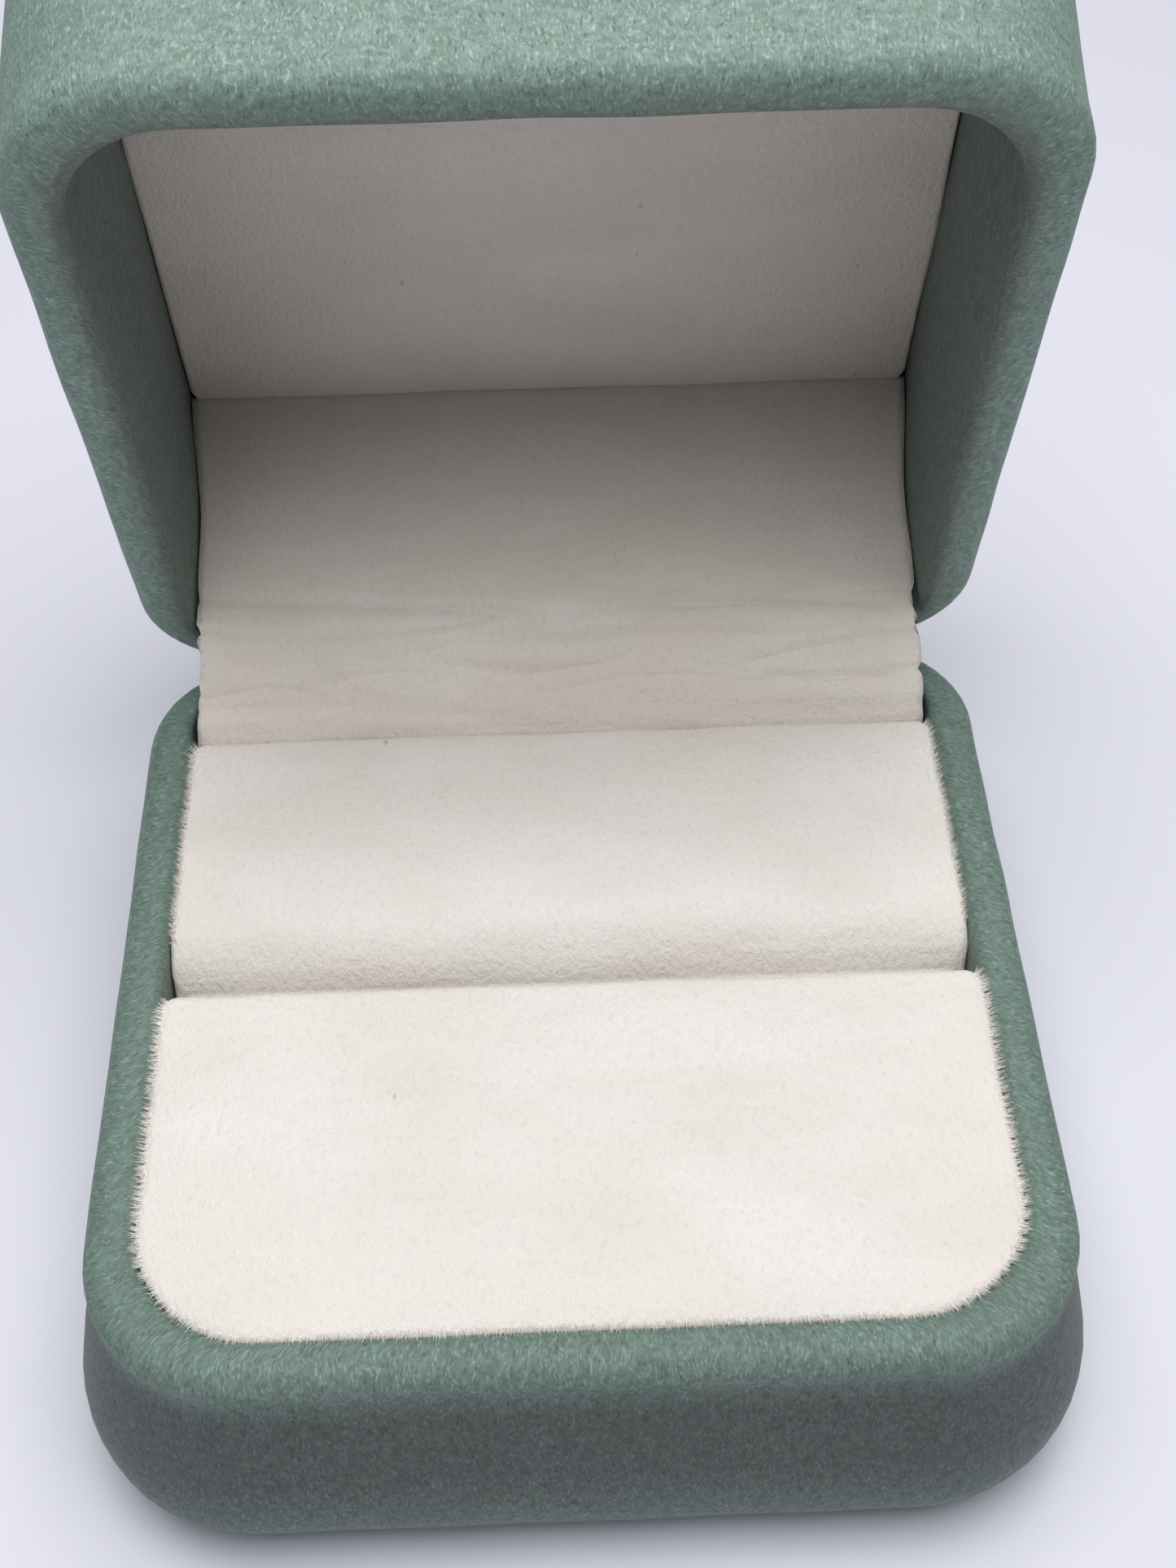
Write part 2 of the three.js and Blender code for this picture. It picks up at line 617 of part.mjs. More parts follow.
const tuckY = REAR_PAD_BACK + GAP + LINING / 2;
const liningLine = [
  [tuckY, BASE_HEIGHT - 8],
  [tuckY, BASE_HEIGHT - 2.4],
  ...smooth([
    [tuckY + 0.05, BASE_HEIGHT - 1.4],
    [tuckY + 0.75, BASE_HEIGHT - 0.1],
    [24.4, BASE_HEIGHT + 1.7],
    [26.6, BASE_HEIGHT + 3.5],
    opened(liningY - 0.02, LID_RIM_Z + 1),
    opened(liningY, LID_RIM_Z + 2.4),
  ], 12),
  opened(liningY, LID_RIM_Z + PANEL_DEPTH + 2),
];
addPiece('hinge_lining', strip(liningLine, LINING, -LINING_HALF_WIDTH, LINING_HALF_WIDTH), IVORY_VELVET);

export default box;
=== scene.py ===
"""Looks of a hinged ring box: leatherette over two shells, velvet pads, a lid panel, lining and hinge."""

import json
import math

import bmesh
import bpy
import numpy as np
from mathutils import Matrix, Vector, noise


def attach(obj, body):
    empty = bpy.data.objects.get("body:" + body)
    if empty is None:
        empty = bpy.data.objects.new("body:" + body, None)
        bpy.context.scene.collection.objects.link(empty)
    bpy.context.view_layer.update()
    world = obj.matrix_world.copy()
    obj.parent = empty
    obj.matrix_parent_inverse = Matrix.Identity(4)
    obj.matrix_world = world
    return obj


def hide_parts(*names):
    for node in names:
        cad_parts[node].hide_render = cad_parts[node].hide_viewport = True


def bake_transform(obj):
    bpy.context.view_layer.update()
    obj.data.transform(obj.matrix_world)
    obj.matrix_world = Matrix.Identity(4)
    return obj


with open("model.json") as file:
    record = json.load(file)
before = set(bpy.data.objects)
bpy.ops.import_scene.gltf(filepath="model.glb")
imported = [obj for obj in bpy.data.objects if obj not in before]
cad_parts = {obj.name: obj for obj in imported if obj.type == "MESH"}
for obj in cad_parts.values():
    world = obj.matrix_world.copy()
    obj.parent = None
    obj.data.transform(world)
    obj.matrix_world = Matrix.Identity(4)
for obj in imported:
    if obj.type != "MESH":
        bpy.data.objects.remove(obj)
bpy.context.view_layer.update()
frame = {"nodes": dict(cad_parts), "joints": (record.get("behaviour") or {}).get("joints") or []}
scene = bpy.context.scene

# ---- Sizes in millimetres, the same as the CAD part's ----
MM = 0.001
RIM_WIDTH = 60.0
RIM_DEPTH = 58.8
FRONT_CORNER = 9.6
BACK_CORNER = 8.2
INNER_FRONT_SHIFT = 1.6
INNER_BACK_SHIFT = -1.2
LID_BACK_SHIFT = -2.8
SMALLEST_RADIUS = 0.3
BASE_HEIGHT = 21.0
LID_HEIGHT = 26.0
LID_RIM_Z = 21.3
FOOT_Z = 0.3
BASE_FLARE = 2.1
LID_FLARE = 0.5
EDGE_RADIUS = 6.5
RIM_ROUND = 1.6
MOUTH_ROUND = 0.9
BASE_WALL = 3.1
LID_WALL = 3.5
WRAP = 0.7
CROWN_START = -28.5  # growth of the first ring of the lid's top, close to its middle
BASE_TURN_IN = 7.0
FOOT_TURN_IN = 5.5
BASE_BELLY = [(2.0, 12.6), (1.65, 10.8), (1.05, 8.0), (0.4, 5.2), (-0.15, 2.8)]
LID_BELLY = [(0.4, 16.0), (0.2, 9.0), (0.0, 4.0)]
LID_WIDENING = [(0.05, 10.0), (0.4, 14.0), (0.8, 17.5), (1.1, 20.0)]

PANEL_DEPTH = 20.8
PANEL_HALF_WIDTH = 27.62
PANEL_FRONT = -27.02
PANEL_BACK = 24.9
PANEL_FRONT_CORNER = 8.8
PANEL_BACK_CORNER = 2.0
PANEL_ROUND = 0.45
PANEL_SKIRT = 1.2
WRAP_PAST_PANEL = 0.6  # how far the lid's wrap runs on behind the panel's face

LINING = 0.5
LINING_FACE = 23.9
CREASE_DEPTH = 0.6
CREASE_SPAN = (21.6, 31.0)  # where the creases start and end, along Y

PAD_CLEARANCE = 0.02
FRONT_PAD_TOP = 20.98
REAR_PAD_TOP = 20.5
PAD_ROUND = 0.8
PAD_RISE = 0.7
PAD_RISE_HALF_WIDTH = 27.0
PAD_RISE_BELOW_TOP = 0.5  # the swell starts this far under a pad's top
PAD_FRONT_BULGE = 0.35
BULGE_HEIGHTS = (19.7, 20.9)  # where the bulge starts and is full
PAD_SKIRT_Z = 5.6
PAD_CORNER = 1.2
SLOT_FRONT = -1.6
SLOT_TOP_WIDTH = 2.6
SLOT_FOOT_WIDTH = 0.6
SLOT_FOOT_Z = 7.0
REAR_PAD_SLOPE = 4.0
REAR_PAD_BACK = 21.3
VELVET = 0.8
LAST_SHARE = 0.03  # a cover's rings shrink to this share before they are filled in
FIBRE_RADIUS = 0.025
FIBRE_LENGTH = 0.85
FIBRE_REACH = 0.7
FIBRE_DEPTH = 0.05
FIBRES_PER_MM2 = 60
FIBRE_LEAN = 0.13  # how far a fibre's direction wanders, as a share of one
FIBRE_CEILING = 21.15
FRINGE_STEEPEST = 0.35  # the pile grows where the up part of the normal is between these two
FRINGE_FLATTEST = 0.9
PILE_SEED = 11

# Painted shade, where 1 is the material's own colour: by height on the base, darker down its walls and
# lighter again towards its foot, and by how far into the mouth on the lid, darker deeper in.
BASE_WALL_PAINTED_SHADE = 0.46
FOOT_PAINTED_SHADE = 0.85
LID_INSIDE_PAINTED_SHADE = 0.58
BASE_PAINTED_SHADE_HEIGHTS = [4.0, 11.0, 16.5, 19.6]
BASE_PAINTED_SHADES = [FOOT_PAINTED_SHADE, BASE_WALL_PAINTED_SHADE, BASE_WALL_PAINTED_SHADE, 1.0]
LID_PAINTED_SHADE_INSIDES = [0.0, 0.5]
LID_PAINTED_SHADES = [1.0, LID_INSIDE_PAINTED_SHADE]

ROUGHNESS_HEIGHT = 0.09  # of the wraps' slight unevenness
ROUGHNESS_SIZE = 6.0

AXIS_Y, AXIS_Z = (value / MM for value in frame["joints"][0]["pos_m"][1:])
OPEN_ANGLE = math.radians(75)

CORNER_STEPS = 12
SIDE_STEPS = 34
ARC_STEPS = 10
SHOULDER_STEPS = 8
SKIRT_STEPS = 13
FACE_STEPS = 21
UNDER_STEPS = 6
CROWN_STEPS = 17
FOOT_STEPS = 5
LINING_ACROSS = 92


# ---- Node materials ----
def new_material(name, **values):
    """A material and its Principled shader; values are its sockets, with _ for each space."""
    material = bpy.data.materials.new(name)
    material.use_nodes = True
    shader = material.node_tree.nodes["Principled BSDF"]
    for socket, value in values.items():
        shader.inputs[socket.replace("_", " ")].default_value = value
    return material, shader


def node(material, kind, **settings):
    made = material.node_tree.nodes.new(kind)
    for key, value in settings.items():
        if key in made.inputs:
            made.inputs[key].default_value = value
        else:
            setattr(made, key, value)
    return made


def link(material, source, target):
    material.node_tree.links.new(source, target)


def coordinates(material, scale=(1, 1, 1), tilt=0.0):
    """Object coordinates in millimetres, turned by tilt about X and then stretched."""
    source = node(material, "ShaderNodeTexCoord")
    mapping = node(material, "ShaderNodeMapping")
    mapping.inputs["Rotation"].default_value = (tilt, 0, 0)
    mapping.inputs["Scale"].default_value = (1 / MM, 1 / MM, 1 / MM)
    stretch = node(material, "ShaderNodeVectorMath", operation="MULTIPLY")
    stretch.inputs[1].default_value = scale
    link(material, source.outputs["Object"], mapping.inputs["Vector"])
    link(material, mapping.outputs["Vector"], stretch.inputs[0])
    return stretch.outputs["Vector"]


def noise_of(material, vector, scale, detail=2.0, roughness=0.5):
    texture = node(material, "ShaderNodeTexNoise", Scale=scale, Detail=detail, Roughness=roughness)
    link(material, vector, texture.inputs["Vector"])
    return texture.outputs["Fac"]


def spread(material, value, low, high, to_low=0.0, to_high=1.0):
    """value's range low to high mapped to to_low to to_high, and clamped."""
    mapped = node(material, "ShaderNodeMapRange")
    for socket, number in zip(("From Min", "From Max", "To Min", "To Max"), (low, high, to_low, to_high)):
        mapped.inputs[socket].default_value = number
    link(material, value, mapped.inputs["Value"])
    return mapped.outputs["Result"]


def mixed(material, factor, first, second, blend="MIX"):
    """A colour mix; first and second are colours or sockets."""
    mixer = node(material, "ShaderNodeMix", data_type="RGBA", blend_type=blend)
    if isinstance(factor, float):
        mixer.inputs[0].default_value = factor
    else:
        link(material, factor, mixer.inputs[0])
    for index, colour in ((6, first), (7, second)):
        if isinstance(colour, tuple):
            mixer.inputs[index].default_value = (*colour, 1)
        else:
            link(material, colour, mixer.inputs[index])
    return mixer.outputs[2]


def bumped(material, shader, height, strength, distance, before=None):
    bump = node(material, "ShaderNodeBump", Strength=strength, Distance=distance * MM)
    link(material, height, bump.inputs["Height"])
    if before is not None:
        link(material, before, bump.inputs["Normal"])
    link(material, bump.outputs["Normal"], shader.inputs["Normal"])
    return bump.outputs["Normal"]


def nap_vector(material, scale):
    """The wraps' stored nap coordinates, stretched, with a slight wander so that no streak is straight."""
    source = node(material, "ShaderNodeAttribute", attribute_name="nap")
    wander = node(material, "ShaderNodeTexNoise", Scale=0.7, Detail=1.0)
    link(material, source.outputs["Vector"], wander.inputs["Vector"])
    centred = node(material, "ShaderNodeVectorMath", operation="SUBTRACT")
    centred.inputs[1].default_value = (0.5, 0.5, 0.5)
    link(material, wander.outputs["Color"], centred.inputs[0])
    small = node(material, "ShaderNodeVectorMath", operation="SCALE")
    small.inputs["Scale"].default_value = 0.8
    link(material, centred.outputs["Vector"], small.inputs[0])
    moved = node(material, "ShaderNodeVectorMath", operation="ADD")
    link(material, source.outputs["Vector"], moved.inputs[0])
    link(material, small.outputs["Vector"], moved.inputs[1])
    stretch = node(material, "ShaderNodeVectorMath", operation="MULTIPLY")
    stretch.inputs[1].default_value = scale
    link(material, moved.outputs["Vector"], stretch.inputs[0])
    return stretch.outputs["Vector"]


def leatherette(name, pale, deep, patch_scale):
    """Short-napped green leatherette: fine streaks that lie across the rims, over softer patches."""
    material, shader = new_material(
        name, Roughness=0.62, Sheen_Weight=0.08, Sheen_Roughness=0.4, Specular_IOR_Level=0.4,
    )
    shader.inputs["Sheen Tint"].default_value = (0.70, 0.86, 0.78, 1)
    streaks = noise_of(material, nap_vector(material, (1, 1, 0.34)), 6.5, 2.0, 0.62)
    patches = noise_of(material, nap_vector(material, patch_scale), 2.2, 3.0, 0.6)
    cloud = noise_of(material, nap_vector(material, (1, 1, 1)), 0.09, 2.0)
    fine = noise_of(material, nap_vector(material, (1, 1, 0.5)), 12.0, 1.0)
    # The pale streaks are the nap's grain and also painted glints of light on it.
    nap_streak_and_painted_glint = tuple(min(1.0, 1.75 * channel) for channel in pale)
    pit = tuple(0.5 * channel for channel in deep)
    colour = mixed(material, spread(material, patches, 0.36, 0.66), deep, pale)
    colour = mixed(material, spread(material, streaks, 0.54, 0.76), colour, nap_streak_and_painted_glint)
    colour = mixed(material, spread(material, streaks, 0.42, 0.27), colour, pit)
    colour = mixed(material, spread(material, cloud, 0.3, 0.7, 0.0, 0.25), colour, deep)
    # Painted shade: the stored shade darkens the colour, and makes it greyer where it is darker.
    painted_shade = node(material, "ShaderNodeAttribute", attribute_name="painted_shade")
    brushed = node(material, "ShaderNodeHueSaturation")
    link(material, colour, brushed.inputs["Color"])
    link(material, painted_shade.outputs["Fac"], brushed.inputs["Value"])
    link(material, spread(material, painted_shade.outputs["Fac"], 0.5, 1.0, 0.6, 1.0), brushed.inputs["Saturation"])
    link(material, brushed.outputs["Color"], shader.inputs["Base Color"])
    link(material, spread(material, patches, 0.3, 0.7, 0.7, 0.56), shader.inputs["Roughness"])
    coarse = bumped(material, shader, patches, 0.5, 0.12)
    medium = bumped(material, shader, streaks, 0.55, 0.07, coarse)
    bumped(material, shader, fine, 0.4, 0.03, medium)
    return material


def velvet(name, pale, deep, tilt=0.0, creased=False):
    """Short cut pile, mottled where it has been brushed one way or the other."""
    material, shader = new_material(
        name, Roughness=0.9, Sheen_Weight=0.2, Sheen_Roughness=0.5, Specular_IOR_Level=0.1,
    )
    shader.inputs["Sheen Tint"].default_value = (1.0, 0.97, 0.93, 1)
    even = coordinates(material, (1, 1, 1), tilt)
    tufts = noise_of(material, coordinates(material, (1, 0.6, 0.6), tilt), 2.6, 4.0, 0.72)
    brushed = noise_of(material, coordinates(material, (0.5, 1, 1), tilt), 0.16, 3.0)
    warm = noise_of(material, even, 0.07, 2.0)
    colour = mixed(material, spread(material, brushed, 0.35, 0.68), deep, pale)
    colour = mixed(material, spread(material, warm, 0.4, 0.62, 0.0, 0.3), colour, (0.88, 0.78, 0.70))
    # Painted shade: darker where the tufts' bumps are low.
    painted_hollow_shade = tuple(0.8 * channel for channel in deep)
    colour = mixed(material, spread(material, tufts, 0.48, 0.25, 0.0, 0.45), colour, painted_hollow_shade)
    flecks = noise_of(material, coordinates(material, (1, 0.45, 1), tilt), 0.9, 1.0)
    colour = mixed(material, spread(material, flecks, 0.80, 0.84, 0.0, 0.5), colour, (0.36, 0.33, 0.29))
    link(material, colour, shader.inputs["Base Color"])
    link(material, spread(material, tufts, 0.3, 0.7, 0.96, 0.84), shader.inputs["Roughness"])
    normal = bumped(material, shader, brushed, 0.35, 0.8)
    normal = bumped(material, shader, tufts, 0.75, 0.3, normal)
    if creased:
        folds = noise_of(material, coordinates(material, (0.06, 1, 1), tilt), 0.9, 3.0)
        bumped(material, shader, folds, 0.3, 0.3, normal)
    return material


def cut_fibre(name, pale, deep):
    """Single pile fibres: pale, with slight differences from one tuft to the next."""
    material, shader = new_material(
        name, Roughness=0.9, Sheen_Weight=0.3, Sheen_Roughness=0.5, Specular_IOR_Level=0.1,
    )
    tufts = noise_of(material, coordinates(material), 2.6, 2.0)
    colour = mixed(material, spread(material, tufts, 0.35, 0.65), deep, pale)
    link(material, colour, shader.inputs["Base Color"])
    link(material, spread(material, tufts, 0.3, 0.7, 0.95, 0.85), shader.inputs["Roughness"])
    return material


def board(name, light, dark, scale, roughness):
    """A matt material with fine flecks, for what is moulded, pressed or foamed."""
    material, shader = new_material(name, Roughness=roughness)
    even = coordinates(material)
    flecks = noise_of(material, even, scale, 3.0)
    colour = mixed(material, spread(material, flecks, 0.35, 0.65), dark, light)
    link(material, colour, shader.inputs["Base Color"])
    link(material, spread(material, flecks, 0.3, 0.7, roughness + 0.06, roughness - 0.06),
         shader.inputs["Roughness"])
    bumped(material, shader, flecks, 0.4, 0.1)
    return material


def brushed_metal(name):
    """Plated steel with fine lines along the hinge."""
    material, shader = new_material(name, Metallic=1.0, Roughness=0.34)
    lines = noise_of(material, coordinates(material, (0.1, 2, 2)), 3.0, 3.0)
    tarnish = noise_of(material, coordinates(material), 0.3, 3.0)
    colour = mixed(material, spread(material, tarnish, 0.35, 0.7), (0.66, 0.60, 0.46), (0.48, 0.43, 0.33))
    link(material, colour, shader.inputs["Base Color"])
    link(material, spread(material, lines, 0.3, 0.7, 0.26, 0.44), shader.inputs["Roughness"])
    bumped(material, shader, lines, 0.25, 0.03)
    return material


# The lid's copy of the leatherette is paler than the base's: partly because its nap lies another way, and
# partly as painted light for the brighter light on the lid.
LEATHERETTE_BASE = leatherette(
    "leatherette base", (0.185, 0.265, 0.225), (0.125, 0.185, 0.155), patch_scale=(1, 1, 0.7),
)
LEATHERETTE_LID_PAINTED_LIGHTER = leatherette(
    "leatherette lid painted lighter", (0.235, 0.335, 0.285), (0.165, 0.240, 0.200), patch_scale=(0.45, 0.45, 1.0),
)
PAD_VELVET = velvet("velvet pad", (0.94, 0.905, 0.85), (0.87, 0.835, 0.775))
PILE_VELVET = cut_fibre("velvet pile", (0.95, 0.925, 0.88), (0.89, 0.86, 0.80))
PANEL_VELVET = velvet("velvet panel", (0.95, 0.885, 0.825), (0.89, 0.82, 0.755), tilt=OPEN_ANGLE)
LINING_VELVET = velvet("velvet lining", (0.95, 0.885, 0.81), (0.88, 0.81, 0.725), creased=True)
MOULDING = board("moulding", (0.055, 0.06, 0.058), (0.035, 0.04, 0.038), 1.2, 0.5)
GREY_BOARD = board("grey board", (0.36, 0.33, 0.28), (0.24, 0.22, 0.19), 1.5, 0.9)
SPONGE = board("sponge", (0.86, 0.84, 0.78), (0.68, 0.66, 0.6), 2.2, 0.95)
FELT_PAPER = board("felt paper", (0.14, 0.18, 0.155), (0.09, 0.12, 0.10), 2.5, 0.95)
STEEL = brushed_metal("plated steel")


# ---- Outlines, profiles and lofted surfaces ----
def box_outline(grow, inside=0.0, back_shift=INNER_BACK_SHIFT):
    """The box's own outline, grown by grow; inside is 1 in the mouth and 0 on the outer wall."""
    return {
        "half_width": RIM_WIDTH / 2 + grow,
        "front": -RIM_DEPTH / 2 - grow,
        "back": RIM_DEPTH / 2 + grow,
        "front_radius": FRONT_CORNER + grow + INNER_FRONT_SHIFT * inside,
        "back_radius": BACK_CORNER + grow + back_shift * inside,
    }


def arc(centre_x, centre_z, radius, start, end, steps=ARC_STEPS):
    angles = np.radians(np.linspace(start, end, steps + 1))
    return [(centre_x + radius * math.cos(a), centre_z + radius * math.sin(a)) for a in angles]


def ring(half_width, front, back, front_radius, back_radius, z):
    """A rounded rectangle at height z, with points along its sides as well as round its corners."""
    corners = (
        (1, back, -1, back_radius, 0), (-1, back, -1, back_radius, 90),
        (-1, front, 1, front_radius, 180), (1, front, 1, front_radius, 270),
    )
    turns = []
    for side, y, inward, radius, start in corners:
        r = max(radius, SMALLEST_RADIUS)
        turns.append(arc(side * (half_width - r), y + inward * r, r, start, start + 90, CORNER_STEPS))
    points = []
    for turn, following in zip(turns, turns[1:] + turns[:1]):
        points.extend(turn)
        (x0, y0), (x1, y1) = turn[-1], following[0]
        for step in range(1, SIDE_STEPS):
            share = step / SIDE_STEPS
            points.append((x0 + (x1 - x0) * share, y0 + (y1 - y0) * share))
    return np.array([(x, y, z) for x, y in points])


def box_ring(point, back_shift=INNER_BACK_SHIFT):
    grow, z, inside = point
    return ring(**box_outline(grow, inside, back_shift), z=z)


def curve_through(points, step=0.9):
    """A Catmull-Rom curve through points, in pieces about step long."""
    line = np.array(points, float)
    padded = np.vstack([2 * line[0] - line[1], line, 2 * line[-1] - line[-2]])
    made = []
    for i in range(1, len(padded) - 2):
        before, start, end, after = padded[i - 1:i + 3]
        count = max(1, round(np.linalg.norm((end - start)[:2]) / step))
        for t in np.arange(count) / count:
            made.append(0.5 * (
                2 * start + (end - before) * t + (2 * before - 5 * start + 4 * end - after) * t ** 2
                + (3 * start - before - 3 * end + after) * t ** 3
            ))
    made.append(line[-1])
    return made


def inset_profile(profile, distance):
    """The profile moved inward by distance, along its own normals."""
    made = []
    for i, (x, z, inside) in enumerate(profile):
        before, after = profile[max(i - 1, 0)], profile[min(i + 1, len(profile) - 1)]
        along = np.array([after[0] - before[0], after[1] - before[1]])
        along = along / np.linalg.norm(along)
        made.append((x - along[1] * distance, z + along[0] * distance, inside))
    return made


def nap_coordinates(rings):
    """For each point, where it is round the box (on a cylinder as long round as the box) and how far
    along the profile, in millimetres. Grain that reads them runs across rims and down walls."""
    around = max(rings, key=lambda r: np.linalg.norm(np.diff(r, axis=0), axis=1).sum())
    steps = np.linalg.norm(np.roll(around, -1, axis=0) - around, axis=1)
    angle = np.concatenate([[0], np.cumsum(steps)[:-1]]) / steps.sum() * 2 * math.pi
    radius = steps.sum() / (2 * math.pi)
    rises = [np.linalg.norm(b - a, axis=1).mean() for a, b in zip(rings, rings[1:])]
    along = np.concatenate([[0], np.cumsum(rises)])
    x, y = radius * np.cos(angle), radius * np.sin(angle)
    return np.vstack([np.column_stack([x, y, np.full(len(angle), v)]) for v in along])


def store_nap(piece, rings, flat_rings):
    """Stores nap coordinates per face corner; faces within the first flat_rings rings use the plan's
    own x and y, so that the grain doesn't run to a point."""
    mesh = piece.data
    nap, flat = nap_coordinates(rings), np.vstack(rings)
    limit = flat_rings * len(rings[0])
    attribute = mesh.attributes.new("nap", "FLOAT_VECTOR", "CORNER")
    values = np.empty((len(mesh.loops), 3), np.float32)
    for polygon in mesh.polygons:
        corners = list(polygon.vertices)
        source = flat if max(corners) < limit else nap
        for index, corner in zip(polygon.loop_indices, corners):
            values[index] = source[corner]
    attribute.data.foreach_set("vector", values.ravel())


def store_painted_shade(piece, rings, painted_shades):
    """Stores painted shade for each ring, where 1 is the material's own colour and less is darker."""
    values = np.repeat(np.asarray(painted_shades, np.float32), len(rings[0]))
    attribute = piece.data.attributes.new("painted_shade", "FLOAT", "POINT")
    attribute.data.foreach_set("value", values)


def lofted(name, rings, material, looped=False, place=None):
    """One closed surface through rings of equal length, its ends filled in unless looped."""
    count = len(rings[0])
    verts = np.vstack(rings)
    faces = []
    strips = len(rings) if looped else len(rings) - 1
    for i in range(strips):
        near, far = i * count, ((i + 1) % len(rings)) * count
        for j in range(count):
            k = (j + 1) % count
            faces.append((near + j, near + k, far + k, far + j))
    if not looped:
        for base in (0, (len(rings) - 1) * count):
            faces.append(tuple(range(base, base + count)))
    if place is not None:
        verts = place(verts)
    return surface(name, verts, faces, material)


def surface(name, verts_mm, faces, material):
    mesh = bpy.data.meshes.new(name)
    mesh.from_pydata((np.asarray(verts_mm) * MM).tolist(), [], faces)
    shaped = bmesh.new()
    shaped.from_mesh(mesh)
    bmesh.ops.recalc_face_normals(shaped, faces=shaped.faces)
    shaped.to_mesh(mesh)
    shaped.free()
    mesh.shade_smooth()
    made = bpy.data.objects.new(name, mesh)
    scene.collection.objects.link(made)
    made.data.materials.append(material)
    return made


def opened(verts):
    """Points of the shut lid where they lie with the lid open."""
    made = np.array(verts, float)
    y, z = made[:, 1] - AXIS_Y, made[:, 2] - AXIS_Z
    made[:, 1] = AXIS_Y + y * math.cos(OPEN_ANGLE) + z * math.sin(OPEN_ANGLE)
    made[:, 2] = AXIS_Z - y * math.sin(OPEN_ANGLE) + z * math.cos(OPEN_ANGLE)
    return made


def roughen(piece, amount, size, seed):
    """Moves each point along its normal by smooth noise, up to amount and of that size, in millimetres.
    seed picks the place in the noise."""
    mesh = piece.data
    normals = [v.normal.copy() for v in mesh.vertices]
    for vertex, normal in zip(mesh.vertices, normals):
        place = vertex.co / (size * MM) + Vector((seed, seed, seed))
        vertex.co += normal * (noise.noise(place) * amount * MM)


def carved(piece, low, high, turned=None):
    """Cuts a box out of piece, from its low to its high corner in millimetres."""
    xs, ys, zs = zip(low, high)
    corners = np.array([(x, y, z) for x in xs for y in ys for z in zs])
    if turned is not None:
        corners = turned(corners)
    faces = [(0, 1, 3, 2), (4, 6, 7, 5), (0, 4, 5, 1), (2, 3, 7, 6), (0, 2, 6, 4), (1, 5, 7, 3)]
    tool = surface("cutter", corners, faces, None)
    cut = piece.modifiers.new("cut", "BOOLEAN")
    cut.operation = "DIFFERENCE"
    cut.solver = "EXACT"
    cut.object = tool
    result = bpy.data.meshes.new_from_object(piece.evaluated_get(bpy.context.evaluated_depsgraph_get()))
    piece.modifiers.clear()
    piece.data = result
    bpy.data.objects.remove(tool)


def finish_piece(piece, body, slot, *nodes):
    """Fixes piece to a body, and puts it in the place of those CAD nodes; slot is not used."""
    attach(piece, body)
    if nodes:
        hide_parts(*nodes)
    return piece


# ---- Leatherette wraps ----
def side_profile(belly, flare, height):
    """From the round outer edge to the top of the rim, as [growth, depth below the rim, 0]."""
    edge = arc(flare - EDGE_RADIUS, -(height - EDGE_RADIUS), EDGE_RADIUS, -90, 0)
    rim = arc(-RIM_ROUND, -RIM_ROUND, RIM_ROUND, 0, 90)
    middle = curve_through([(*edge[-1], 0), *[(grow, -depth, 0) for grow, depth in belly], (*rim[0], 0)])
    return [(x, z, 0) for x, z in edge[:-1]] + [tuple(p) for p in middle] + [(x, z, 0) for x, z in rim[1:]]


def mouth_profile(wall, depth, widening):
    lip = arc(-wall + MOUTH_ROUND, -MOUTH_ROUND, MOUTH_ROUND, 90, 180)
    points = [(x, z, 0.25 + 0.75 * i / ARC_STEPS) for i, (x, z) in enumerate(lip)]
    inner = [(*lip[-1], 1)]
    inner += [(grow - wall, -at, 1) for grow, at in widening if at < depth]
    inner.append((widening[-1][0] - wall, -depth, 1))
    return points + [tuple(p) for p in curve_through(inner)[1:]]


foot_edge = BASE_FLARE - EDGE_RADIUS
base_side = side_profile(BASE_BELLY, BASE_FLARE, BASE_HEIGHT - FOOT_Z)
base_mouth = mouth_profile(BASE_WALL, BASE_TURN_IN, [(0.0, BASE_TURN_IN)])
base_outer = [(grow, BASE_HEIGHT + z, inside) for grow, z, inside in base_side + base_mouth]
foot = [(x, FOOT_Z, 0) for x in np.linspace(foot_edge - FOOT_TURN_IN, foot_edge, FOOT_STEPS + 1)[:-1]]
base_outer = foot + base_outer
base_inner = inset_profile(base_outer, WRAP)[::-1]
base_rings = [box_ring(p) for p in base_outer + base_inner]
base_wrap = lofted("base_leatherette", base_rings, LEATHERETTE_BASE, looped=True)
store_nap(base_wrap, base_rings, 0)
# Painted shade: the walls are darker and greyer than the rim, and lighter again towards the foot.
base_painted_shades = [float(np.interp(z, BASE_PAINTED_SHADE_HEIGHTS, BASE_PAINTED_SHADES)) for _, z, _ in base_outer]
store_painted_shade(base_wrap, base_rings, base_painted_shades + base_painted_shades[::-1])
roughen(base_wrap, ROUGHNESS_HEIGHT, ROUGHNESS_SIZE, seed=3.1)
HINGE_RELIEF = ((-19.0, AXIS_Y - 1.4, AXIS_Z - 1.8), (19.0, AXIS_Y + 2.0, AXIS_Z + 1.8))
carved(base_wrap, *HINGE_RELIEF)
finish_piece(base_wrap, "base", "leatherette", "base_wrap")

